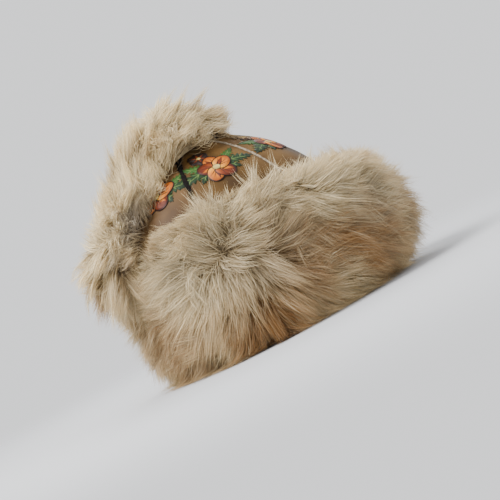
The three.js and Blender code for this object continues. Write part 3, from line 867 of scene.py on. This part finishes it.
FUR_SURFACES = {
    "fur_front": cuff_surface((-SIDE_SEAM, SIDE_SEAM)),
    "fur_right": cuff_surface((SIDE_SEAM, CENTRE_BACK)),
    "fur_left": cuff_surface((CENTRE_BACK, 360 - SIDE_SEAM)),
    "fur_back": flap_surface,
}
print("cuff's top edge in front, at the side and behind", cuff_top(np.array([0, 90, 180])).round(), "mm")

# %% [markdown]
# ## Colour of the fur
#
# The fur is natural, with a cream underfur and hair that is banded along its length: grey-brown
# at the root, cream in the middle and tan at the tip. The dark root band is partly the hair's own
# colour and partly painted shade deep between the tufts. Patches lean to tan or to grey, so the
# whole looks alive, and a few of them are painted shade. Each hair carries four numbers: how far
# along it a point lies, its own chance shade, and how tan and how grey its patch is. Hair lets
# some light through, which is what makes the edge of fur glow, so part of the shader is
# translucent.

# %% Fur material
FUR_CREAM, FUR_TAN, FUR_GREY = "#F4E4BC", "#986D3A", "#7C7165"


def fur_material(name, root_colour, translucent):
    m = new_material(name)
    data = add_node(m, "Attribute", {"attribute_name": "fur"})
    parts = add_node(m, "SeparateColor", None, {"Color": data.outputs["Color"]})
    tan = add_node(m, "Mix", {"data_type": "RGBA", 6: linear(FUR_CREAM), 7: linear(FUR_TAN)},
                   {0: parts.outputs["Blue"]})
    grey = add_node(m, "Mix", {"data_type": "RGBA", 7: linear(FUR_GREY)},
                    {0: data.outputs["Alpha"], 6: tan.outputs[2]})
    # The root of each band is dark partly as the hair's own colour and partly as painted shade deep between
    # the tufts
    bands_and_root_shade = [(0, root_colour), (0.4, "#DCD4C6"), (0.75, "#FFFFFF"), (1, "#F5E8CE")]
    band_and_root_shade = ramp(m, parts.outputs["Red"], bands_and_root_shade)
    chance = add_node(m, "MapRange", {"To Min": 0.66, "To Max": 1.18},
                      {"Value": parts.outputs["Green"]})
    banded_and_root_shaded = add_node(m, "Mix", {"data_type": "RGBA", "blend_type": "MULTIPLY", 0: 1.0},
                      {6: grey.outputs[2], 7: band_and_root_shade})
    colour = add_node(m, "VectorMath", {"operation": "SCALE"},
                      {0: banded_and_root_shaded.outputs[2], "Scale": chance})
    solid = add_node(m, "BsdfPrincipled",
                     {"Roughness": 0.6, "Sheen Weight": 0.2, "Specular IOR Level": 0.25, "IOR": 1.55},
                     {"Base Color": colour})
    through = add_node(m, "BsdfTranslucent", None, {"Color": colour})
    shader = add_node(m, "MixShader", {"Fac": translucent}, {1: solid, 2: through})
    return finish_material(m, shader)


# The root colour #6C5C49 is partly banding and partly painted shade between the tufts
hair_material = fur_material("banded_natural_hair", "#6C5C49", 0.35)
underfur_material = fur_material("dense_underfur", "#A0917D", 0.1)
print("fur materials", hair_material.name, underfur_material.name)

# %% [markdown]
# ## Patches, and the way the hair lies
#
# Soft noise from a few crossed waves makes the hair wander and sets its patches. Noise alone
# would look the same all over, so there are larger patches: tan low on the cuff's sides and
# behind, with painted shade in tan and grey lowest beside the side seam, cream along its top
# edge and on the flap, and painted shadow in grey and tan on the flap's edge beside the leather.
#
# The hair of the cuff flows from a whorl behind each ear: in front of it the hair runs forward,
# behind it to the centre back, and along the top edge it stands up short over the crown. On the
# flap the hair stands well off, down at the back and forward over the top, and it lies lower at
# the free end, which rounds it off.

# %% Noise and patches
# Degrees from the front, height and reach in mm, and how much tan and grey it adds
PATCHES_AND_PAINTED_SHADE = [
    (82, 70, 34, 0.8, 0.08),
    (56, 62, 34, 0.66, 0.04),
    (180, 66, 55, 0.34, 0.0),
    (20, 60, 40, 0.1, 0.0),
    # Painted shade: dark tan and grey low on the cuff beside the side seam
    (112, 42, 25, 0.7, 0.14),
    (114, 98, 30, -0.35, 0.0),
    (56, 114, 36, -0.5, 0.08),
    (94, 140, 40, -0.5, 0.1),
    (140, 96, 30, -0.3, -0.1),
    (175, 205, 80, -0.3, -0.16),
    # Painted shadow in the next two rows: grey and tan on the flap's edge beside the leather
    (154, 168, 19, 0.3, 1.0),
    (166, 133, 19, 0.35, 0.0),
]
TAN_SHARE, GREY_SHARE = 0.27, 0.05


def drift(points, length, seed):
    """A vector of three noises, each with its own seed."""
    return np.stack([waves(points, length, seed + i) for i in range(3)], -1)


def azimuth_of(points):
    return np.degrees(np.arctan2(-points[..., 0], -points[..., 1])) % 360


def patch_colours(points, rng):
    """Chance shade, tan share and grey share of each hair."""
    tan = TAN_SHARE + 0.24 * waves(points, 75, 5) + 0.16 * waves(points, 24, 15)
    tan += 0.12 * rng.normal(size=len(points))
    grey = GREY_SHARE + 0.24 * waves(points, 52, 9) + 0.16 * waves(points, 20, 19)
    grey += 0.1 * rng.normal(size=len(points))
    around = from_front(azimuth_of(points))
    radius = np.hypot(points[:, 0], points[:, 1])
    for azimuth, z, reach, more_tan, more_grey in PATCHES_AND_PAINTED_SHADE:
        along = np.radians(around - azimuth) * radius
        near = bell(np.hypot(along, points[:, 2] - z), reach)
        tan += more_tan * near
        grey += more_grey * near
    return np.stack([rng.uniform(0, 1, len(points)), np.clip(tan, 0, 1), np.clip(grey, 0, 0.85)], -1)


print("patches on each side", len(PATCHES_AND_PAINTED_SHADE))


# %% Lay of the hair
WHORL_AZIMUTH, WHORL_Z = 113, 108
WHORL_REACH, WHORL_CALM = 26, 0.55
WANDER, WANDER_LENGTH = 17, 58
# From these levels the cuff's hair turns up over the crown, and lies outwards on the crest itself
TOP_LEVEL, TOP_BLEND = 0.74, 0.16
CREST_LEVEL, CREST_BLEND = 0.965, 0.03
# Beside the flap the hair of the top edge lies lower, and in front of the ears wisps are longer
DIP_AZIMUTH, DIP_REACH = 140, 20
TALL_AZIMUTH, TALL_REACH = 72, 12
FLAP_END, FLAP_END_BLEND = 0.7, 0.16
ROOT_SINK = 9


def cuff_lay(share, level, root, ahead):
    """Flow along the hide, how far hair stands off it, its share of the full length, and its depth."""
    warped = root + WANDER * drift(root, WANDER_LENGTH, 21)
    azimuth = azimuth_of(warped)
    around = from_front(azimuth)
    side = np.where(azimuth > 180, -1, 1)
    back = np.radians(around - WHORL_AZIMUTH) * np.hypot(warped[:, 0], warped[:, 1])
    height = (warped[:, 2] - WHORL_Z) * 0.9
    away = np.hypot(back, height) + 4
    near = bell(away, WHORL_REACH)
    ends = np.minimum(np.clip(around / 38, 0, 1), np.clip((CENTRE_BACK - around) / 40 + 0.1, 0, 1))
    turn = backwards(azimuth) * (back / away * ends * side)[:, None] * (1 - WHORL_CALM * near)[:, None]
    top = ease((level - TOP_LEVEL) / TOP_BLEND)
    rise = (height / away * (1 - WHORL_CALM * near))[:, None]
    flow = turn * mix(1, 0.8, top)[:, None] + mix(UP * rise, outwards(azimuth) * 0.15, top[:, None])
    stand = mix(0.5 + 0.3 * near + 0.25 * (1 - ends), 1.15, top)
    crest = ease((level - CREST_LEVEL) / CREST_BLEND)
    dip = bell(around - DIP_AZIMUTH, DIP_REACH) * top
    flow = flow + outwards(azimuth) * (0.9 * crest + 0.8 * dip)[:, None]
    scale = (1 - 0.3 * top) * (1 - 0.25 * near) * (1 - 0.45 * crest) * (1 - 0.35 * dip)
    return flow, stand, scale, ROOT_SINK * (1 - 0.7 * top)


def flap_lay(share, level, root, ahead):
    """The same for the flap, where over grows to the top, and end grows to the free end."""
    side = 2 * level - 1
    over = ease((share - 0.08) / 0.5)
    upper = ease((share - 0.42) / 0.25)
    sideways = np.array([1, 0, 0]) * (side * mix(0.3, 1.0, upper))[:, None]
    end = ease((share - FLAP_END) / FLAP_END_BLEND)
    flow = ahead * (mix(-0.8, 0.85, over) + 0.3 * end)[:, None] + sideways
    edge = ease((np.abs(side) - 0.5) / 0.4)
    stand = mix(mix(1.05, 0.9, over), 0.5, end)
    scale = (1 - edge * mix(0.5, 0.1, upper)) * (1 - 0.3 * end)
    return flow, stand, scale, ROOT_SINK * (1 - 0.5 * edge)


def wisp_lay(share, level, root, ahead):
    """Separate tufts along the cuff's top edge that stand up over the leather and lean forward."""
    azimuth = azimuth_of(root)
    side = np.where(azimuth > 180, -1, 1)[:, None]
    forward = -backwards(azimuth) * side * np.sin(np.radians(azimuth))[:, None] ** 2
    flow = outwards(azimuth) * 0.3 + forward * 0.75 + UP
    tall = 1 + 0.28 * bell(from_front(azimuth) - TALL_AZIMUTH, TALL_REACH)
    return flow, np.full(len(share), 0.5), tall, 2.0


def flap_wisp_lay(share, level, root, ahead):
    """Loose tufts that stand well off the flap, so that its outline is ragged."""
    flow, stand, _, _ = flap_lay(share, level, root, ahead)
    return flow * 0.7, stand * 1.4, np.ones(len(share)), 3.0


# %% [markdown]
# ## Growing the hair
#
# A hair could be a curve with a radius, but curves are heavy and this fur needs more than a
# hundred thousand. So each hair is a thin tapered ribbon of three segments, and numpy bends
# them all at once. Hairs share a tuft, and tufts share a lock: both draw together towards their
# tips, which gives fur its pointed, feathery edge. About one hair in six strays from its tuft.
# A real hair is 0.05 mm wide, too fine to show, so these are drawn about twelve times as coarse.

# %% Spots for tufts
FRAME_STEP = 0.012


def surface_frame(surface, share, level, sink):
    """Points that lie sink under a surface, its outward normals, and its ways ahead and across."""
    here = surface(share, level, sink)
    steps = (FRAME_STEP, -FRAME_STEP)
    more, less = (np.clip(share + step, 0, 1) for step in steps)
    ahead = unit(surface(more, level) - surface(less, level))
    more, less = (np.clip(level + step, 0.01, 0.99) for step in steps)
    across = unit(surface(share, more) - surface(share, less))
    normal = unit(np.cross(ahead, across))
    inward = np.einsum("ij,ij->i", normal, here - UP * FLAP_CENTRE_Z) < 0
    normal[inward] *= -1
    return here, normal, ahead, across


def sample_surface(surface, count, rng, shares, turns):
    """Random spots on a surface, evenly spread by area, and its area in square centimetres."""
    share = np.linspace(*shares, 161)
    turn = np.linspace(*turns, 61)
    s, v = np.meshgrid((share[1:] + share[:-1]) / 2, (turn[1:] + turn[:-1]) / 2, indexing="ij")
    ds, dv = (share[1] - share[0]) / 2, (turn[1] - turn[0]) / 2
    across = surface(s + ds, ends_close(v)) - surface(s - ds, ends_close(v))
    upwards = surface(s, ends_close(v + dv)) - surface(s, ends_close(v - dv))
    area = np.linalg.norm(np.cross(across, upwards), axis=-1)
    pick = rng.choice(area.size, count, p=(area / area.sum()).ravel())
    jitter = rng.uniform(-1, 1, (count, 2))
    share = s.ravel()[pick] + jitter[:, 0] * ds
    level = ends_close(v.ravel()[pick] + jitter[:, 1] * dv)
    return share, level, area.sum() / 100


def nearest(points, centres):
    """The number of the nearest centre for each point, in blocks that keep memory small."""
    best = np.zeros(len(points), int)
    for start in range(0, len(points), 2000):
        block = points[start : start + 2000]
        best[start : start + 2000] = ((block[:, None] - centres[None]) ** 2).sum(-1).argmin(1)
    return best


# %% Room for the hair
BACK_REACH, BACK_PULL = 165, 0.65
FLOOR_CLEAR, FLOOR_SPREAD, FLOOR_PILE = 0.4, 1.2, 3
LEATHER_CLEAR = 2


def keep_clear(paths, lift=0.0):
    """Spreads hair along the floor, draws in the longest behind and keeps it off the leather."""
    paths[..., 1] -= BACK_PULL * np.maximum(paths[..., 1] - BACK_REACH, 0)
    floor = FLOOR_CLEAR + lift
    below = np.maximum(floor - paths[..., 2], 0)
    away = unit(paths * np.array([1, 1, 0]))
    paths += away * (below * FLOOR_SPREAD)[..., None]
    paths[..., 2] = np.maximum(paths[..., 2], floor)
    across, along = crown_oval(paths[..., 2])
    across, along = across + LEATHER_CLEAR, along + LEATHER_CLEAR
    reach = np.hypot(paths[..., 0] / across, paths[..., 1] / along)
    inside = (reach < 1) & (paths[..., 2] < TOP_Z + LEATHER_CLEAR) & (paths[..., 2] > RIM_Z)
    paths[..., :2] *= np.where(inside, 1 / np.maximum(reach, 0.5), 1)[..., None]
    return paths


# %% Ribbons
RING_PLACES = np.array([0.0, 0.36, 0.7, 1.0])
RING_WIDTHS = np.array([0.8, 1.0, 0.62, 0.0])


def finish_fur(piece, values, material):
    """Stores each point's place along its hair, chance shade, tan and grey, and sets the finish."""
    layer = piece.data.color_attributes.new("fur", "FLOAT_COLOR", "POINT")
    layer.data.foreach_set("color", values.astype(np.float32).ravel())
    piece.data.materials.append(material)


def ribbon_mesh(name, paths, outward, roll, width, colours):
    """Joins all ribbons in one mesh. paths is (hairs, 4, 3), and a ribbon ends in a point."""
    count = len(paths)
    tangent = unit(np.gradient(paths, axis=1))
    side = unit(np.cross(tangent, outward[:, None]))
    over = np.cross(side, tangent)
    side = side * np.cos(roll)[:, None, None] + over * np.sin(roll)[:, None, None]
    half = side * (RING_WIDTHS[None, :, None] * width[:, None, None] / 2)
    pairs = np.stack([paths - half, paths + half], 2)
    points = np.concatenate([pairs[:, :3].reshape(count, 6, 3), paths[:, 3:]], 1).reshape(-1, 3)
    corners = np.arange(count)[:, None] * 7 + np.array([[0, 1, 3, 2, 2, 3, 5, 4, 4, 5, 6]])
    starts = np.arange(count)[:, None] * 11 + np.array([[0, 4, 8]])
    piece = link_mesh(name, points, corners.ravel(), starts.ravel())
    values = np.empty((count, 7, 4))
    values[..., 0] = RING_PLACES[[0, 0, 1, 1, 2, 2, 3]]
    values[..., 1:] = colours[:, None]
    finish_fur(piece, values, hair_material)


# %% Tufts
TUFTS_IN_LOCK = 15
TUFT_BEND, TUFT_DROOP = 0.42, 0.1


def tuft_paths(node, fur, rng):
    """Roots, frames and bent centre lines of the tufts on one piece, and its area."""
    surface = FUR_SURFACES[node]
    share, level, area = sample_surface(surface, fur["tufts"], rng, fur["shares"], fur["turns"])
    root, _, ahead, _ = surface_frame(surface, share, level, 0)
    flow, stand, scale, sink = fur["lay"](share, level, root, ahead)
    root, normal, ahead, across = surface_frame(surface, share, level, sink)
    flow = unit(flow) + drift(root, 40, fur["seed"]) * 0.75 + drift(root, 16, fur["seed"] + 3) * 0.6
    flow = flow + rng.normal(0, 0.3, flow.shape)
    flow = unit(flow - normal * np.einsum("ij,ij->i", flow, normal)[:, None])
    stand = stand * rng.uniform(0.65, 1.4, len(root))
    lean = unit(flow * 0.8 + normal * stand[:, None])
    uneven = fur["uneven"]
    reach = fur["length"] * scale * rng.uniform(0.92 - uneven, 0.92 + uneven, len(root))
    reach *= 1 + uneven / 2 * waves(root, 45, fur["seed"] + 7)
    place = RING_PLACES[None, :, None]
    bend = TUFT_BEND * place**2 * flow[:, None] - UP * TUFT_DROOP * place**2
    path = root[:, None] + reach[:, None, None] * (place * lean[:, None] + bend)
    locks = rng.choice(len(root), max(len(root) // TUFTS_IN_LOCK, 4), replace=False)
    owner = locks[nearest(root, root[locks])]
    path += (path[owner] - path) * fur["lock"] * place**1.6
    return root, normal, ahead, across, path, area


# %% Hairs in their tufts
HAIR_WIDTH = 0.62
ROOT_DEPTH = 3.5
STRAY_SHARE, STRAY_THIN = 0.18, 0.6
STRAY_JITTER, TUFT_JITTER = 4.8, 1.6
HAIR_LENGTHS = (0.5, 1.12)
# shares and turns say what part of the surface is covered. spread is a tuft's width at its roots,
# pull draws its hairs together, lock draws tufts together, and uneven varies their length.
LONG_HAIR = dict(lay=cuff_lay, shares=(0.0, 1.0), turns=(0.05, 0.975), length=34.0, hairs=16,
                 spread=4.4, pull=0.7, lock=0.42, uneven=0.22)


def grow(name, node, **changes):
    """Grows hair on a piece. changes give its tufts and seed, and replace values of LONG_HAIR."""
    fur = {**LONG_HAIR, **changes}
    rng = np.random.default_rng(fur["seed"])
    root, normal, ahead, across, tuft_path, area = tuft_paths(node, fur, rng)
    place = RING_PLACES[None, :, None]
    tuft = np.repeat(np.arange(len(root)), fur["hairs"])
    count = len(tuft)
    offset = rng.normal(0, fur["spread"], (count, 2))
    start = root[tuft] + ahead[tuft] * offset[:, :1] + across[tuft] * offset[:, 1:]
    start -= normal[tuft] * ROOT_DEPTH
    scale = rng.uniform(*HAIR_LENGTHS, count)[:, None, None]
    path = start[:, None] + (tuft_path[tuft] - root[tuft][:, None]) * scale
    stray = (rng.uniform(0, 1, count) < STRAY_SHARE)[:, None, None]
    path += (root[tuft] - start)[:, None] * np.where(stray, 0, fur["pull"]) * place**1.2
    path += rng.normal(0, 1, (count, 1, 3)) * np.where(stray, STRAY_JITTER, TUFT_JITTER) * place**1.5
    path = keep_clear(path, rng.uniform(0, FLOOR_PILE, (count, 1)) * RING_PLACES[None])
    width = HAIR_WIDTH * rng.uniform(0.6, 1.3, count) * np.where(stray[:, 0, 0], STRAY_THIN, 1)
    roll = rng.normal(0, 0.6, count)
    ribbon_mesh(name, path, normal[tuft], roll, width, patch_colours(start, rng))
    print(name, count, "hairs,", round(count / area), "on each square centimetre")


# %% [markdown]
# ## Packed underfur
#
# Under the hair lies a solid body of underfur, a little lower than the hair's roots, so that no
# gap shows through to the leather. It is lumpy, because the fur parts into locks.

# %% Underfur
UNDERFUR_SINK = 12
UNDERFUR_LIFT = 2.5
UNDERFUR_PLACE = 0.3
LUMP_HEIGHT, LUMP_LENGTH = 2.5, 24
UNDERFUR_COLUMNS = {"fur_front": 100, "fur_right": 48, "fur_left": 48, "fur_back": 56}
UNDERFUR_ROWS = 36


def underfur(node):
    shares = np.linspace(0, 1, UNDERFUR_COLUMNS[node])
    levels = ends_close(np.linspace(0, 1, UNDERFUR_ROWS))
    share, level = np.meshgrid(shares, levels, indexing="ij")
    outer = FUR_SURFACES[node](share, level, UNDERFUR_SINK)
    centre = UP * FLAP_CENTRE_Z
    ray = unit(outer - centre)
    soft = np.sin(np.pi * level) ** 0.5 * np.sin(np.pi * share) ** 0.5
    outer = keep_clear(outer + ray * (LUMP_HEIGHT * waves(outer, LUMP_LENGTH, 3) * soft)[..., None])
    distance = np.linalg.norm(outer - centre, axis=-1)
    inner = centre + ray * np.minimum(ray_to_crown(ray) + UNDERFUR_LIFT, distance - 0.5)[..., None]
    if node == "fur_back":
        outer, inner = outer[:, ::-1], inner[:, ::-1]
    points, quads = closed_sheet(outer, inner)
    piece = quad_piece(f"{node}_underfur", points, quads)
    colours = patch_colours(points, np.random.default_rng(11))
    values = np.insert(colours, 0, UNDERFUR_PLACE, axis=1)
    finish_fur(piece, values, underfur_material)
    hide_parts(node)


for node in FUR_SURFACES:
    underfur(node)
print("underfur under", list(FUR_SURFACES))

# %% [markdown]
# ## Hair on every piece
#
# The cuff's hair grows in four parts and the flap's in one, a little shorter and in longer locks.
# A second, thin growth of separate tufts, the wisps, makes the outline ragged along the cuff's
# top edge and on the flap. Each call has its own seed, so a change to one leaves the others as
# they are.

# %% Hair on every piece
grow("front_hair_right", "fur_front", tufts=2350, seed=101, shares=(0.5, 1.0))
grow("front_hair_left", "fur_front", tufts=1950, seed=202, shares=(0.0, 0.5))
grow("right_hair", "fur_right", tufts=1850, seed=303)
grow("left_hair", "fur_left", tufts=1400, seed=404)
grow("back_flap_hair", "fur_back", tufts=2200, seed=505, length=30.5, lay=flap_lay,
     lock=0.6, uneven=0.3, pull=0.82)
WISPS = dict(lay=wisp_lay, length=29.0, hairs=22, spread=3.6, pull=0.82, lock=0.2, uneven=0.3)
grow("front_wisps", "fur_front", tufts=250, seed=606, shares=(0.05, 0.95), turns=(0.76, 0.9), **WISPS)
grow("flap_wisps", "fur_back", tufts=60, seed=909, shares=(0.1, 0.86), turns=(0.12, 0.88),
     **dict(WISPS, lay=flap_wisp_lay, length=31.0, hairs=40, pull=0.84, spread=4.2))
grow("right_wisps", "fur_right", tufts=16, seed=707, shares=(0.0, 0.16), turns=(0.76, 0.89), **WISPS)
grow("left_wisps", "fur_left", tufts=16, seed=808, shares=(0.84, 1.0), turns=(0.76, 0.89), **WISPS)

# %% [markdown]
# ## Floor and light
#
# The studio is plain: a pale floor that fades into a pale grey room, a large soft light above
# on the left, a weak one from the right, and one from behind that makes the fur's edge glow. The
# floor's colour fades with distance from the hat, so that no horizon line crosses the picture
# when the camera rolls.

# %% Floor and light
ROOM_GREY, FLOOR_GREY = "#E4E5E7", "#BEBFC1"
ROOM_LIGHT = 1.55
FLOOR_RADIUS = 1.6
FADE_START, FADE_END = 0.25, 0.9
LIGHT_AIM = np.array([0, 0, 0.1])


def make_floor():
    turn = np.linspace(0, 2 * np.pi, 64, endpoint=False)
    ring = np.stack([np.cos(turn), np.sin(turn), 0 * turn], -1) * FLOOR_RADIUS
    mesh = bpy.data.meshes.new("floor")
    mesh.from_pydata(ring.tolist(), [], [list(range(64))])
    floor = link_object("floor", mesh)
    m = new_material("pale_studio_floor")
    place = add_node(m, "TexCoord").outputs["Object"]
    length = add_node(m, "VectorMath", {"operation": "LENGTH"}, {0: place})
    fade = add_node(m, "MapRange",
                    {"From Min": FADE_START, "From Max": FADE_END, "interpolation_type": "SMOOTHSTEP"},
                    {"Value": length.outputs["Value"]})
    paper = add_node(m, "BsdfDiffuse", {"Color": linear(FLOOR_GREY)})
    clear = add_node(m, "BsdfTransparent")
    shader = add_node(m, "MixShader", None, {"Fac": fade, 1: paper, 2: clear})
    mesh.materials.append(finish_material(m, shader))
    floor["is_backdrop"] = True


def make_light(name, azimuth, elevation, distance, size, power):
    data = bpy.data.lights.new(name, "AREA")
    data.shape, data.size, data.energy = "DISK", size, power
    link_facing(name, data, view_axes(azimuth, elevation), LIGHT_AIM, distance)


def make_room():
    world = bpy.data.worlds.new("pale_room")
    world.use_nodes = True
    background = world.node_tree.nodes["Background"].inputs
    background["Color"].default_value = linear(ROOM_GREY)
    background["Strength"].default_value = ROOM_LIGHT
    bpy.context.scene.world = world


make_floor()
make_room()
make_light("key", VIEW_AZIMUTH - 50, 52, 1.6, 0.9, 50)
make_light("fill", VIEW_AZIMUTH + 60, 30, 1.8, 1.4, 6)
make_light("rim", VIEW_AZIMUTH + 180, 50, 1.6, 0.9, 14)

# %% [markdown]
# ## Sizes
#
# Hair reaches a little past the solids that it grows on. The two boxes show by how much, and
# both are printed before the scene is finished.

# %% Sizes and finish
VISUAL_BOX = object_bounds()
for name, box in (("cad", CAD_BOX), ("visual", VISUAL_BOX)):
    print(name, "box", [[round(v, 4) for v in c] for c in box])
